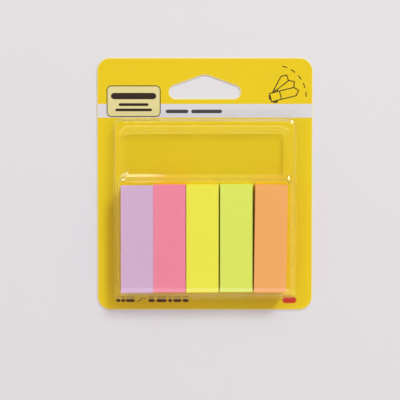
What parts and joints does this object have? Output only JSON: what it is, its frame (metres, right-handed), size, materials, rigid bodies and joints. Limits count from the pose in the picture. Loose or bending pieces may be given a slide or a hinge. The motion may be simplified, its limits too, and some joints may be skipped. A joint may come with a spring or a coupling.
{
  "type": "carded pack of sticky index tabs",
  "caption": "Hang card with a delta hang slot and a clear formed blister that holds a row of narrow pads of coloured sticky index tabs.",
  "frame": {"origin": "centre of the card's back face, which is the middle of the base of the whole pack", "axes": "+Z out of the card's front through the blister, +Y up the card towards the hang slot, +X to the right as seen from the front"},
  "size_m": [0.1016, 0.119, 0.0116],
  "materials": {
    "printed_card": "satin printed board",
    "clear_film": "clear gloss formed film",
    "lilac_paper": "matte uncoated paper",
    "pink_paper": "matte uncoated paper",
    "yellow_paper": "matte uncoated paper",
    "green_paper": "matte uncoated paper",
    "orange_paper": "matte uncoated paper"
  },
  "bodies": {
    "root": {"backing_card": "printed_card", "blister": "clear_film", "pad_lilac": "lilac_paper", "pad_pink": "pink_paper", "pad_yellow": "yellow_paper", "pad_green": "green_paper", "pad_orange": "orange_paper"}
  },
  "joints": []
}
